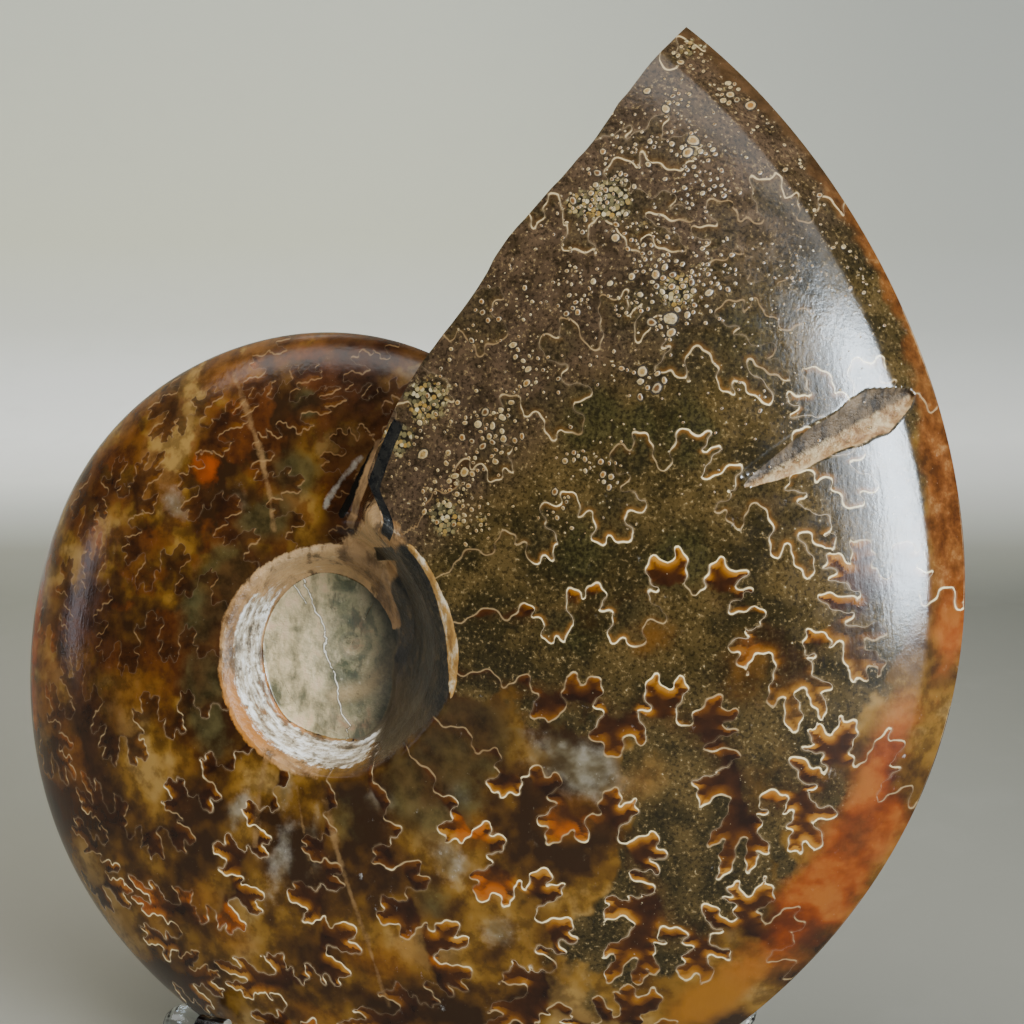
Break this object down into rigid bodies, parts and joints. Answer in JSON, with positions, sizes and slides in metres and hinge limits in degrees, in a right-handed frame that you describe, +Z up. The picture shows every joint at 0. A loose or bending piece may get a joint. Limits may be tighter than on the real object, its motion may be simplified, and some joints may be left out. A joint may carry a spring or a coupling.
{
  "type": "ammonite fossil half on stand",
  "caption": "Polished ammonite fossil half with a sawn flat back and mouth, leaning upright in a clear cradle stand of plates and rods.",
  "frame": {"origin": "on the table under the middle of the object's bounding box", "axes": "+Z up; the polished side faces -Y; +X to the right as seen from the front"},
  "size_m": [0.0968, 0.0446, 0.1104],
  "materials": {
    "fossil": "polished, brown and amber with fine pale suture lines",
    "clear_acrylic": "clear, polished edges"
  },
  "bodies": {
    "root": {"ammonite_half": "fossil", "cheek_left": "clear_acrylic", "cheek_right": "clear_acrylic", "rod_seat": "clear_acrylic", "rod_rear": "clear_acrylic", "rod_top": "clear_acrylic"}
  },
  "joints": []
}
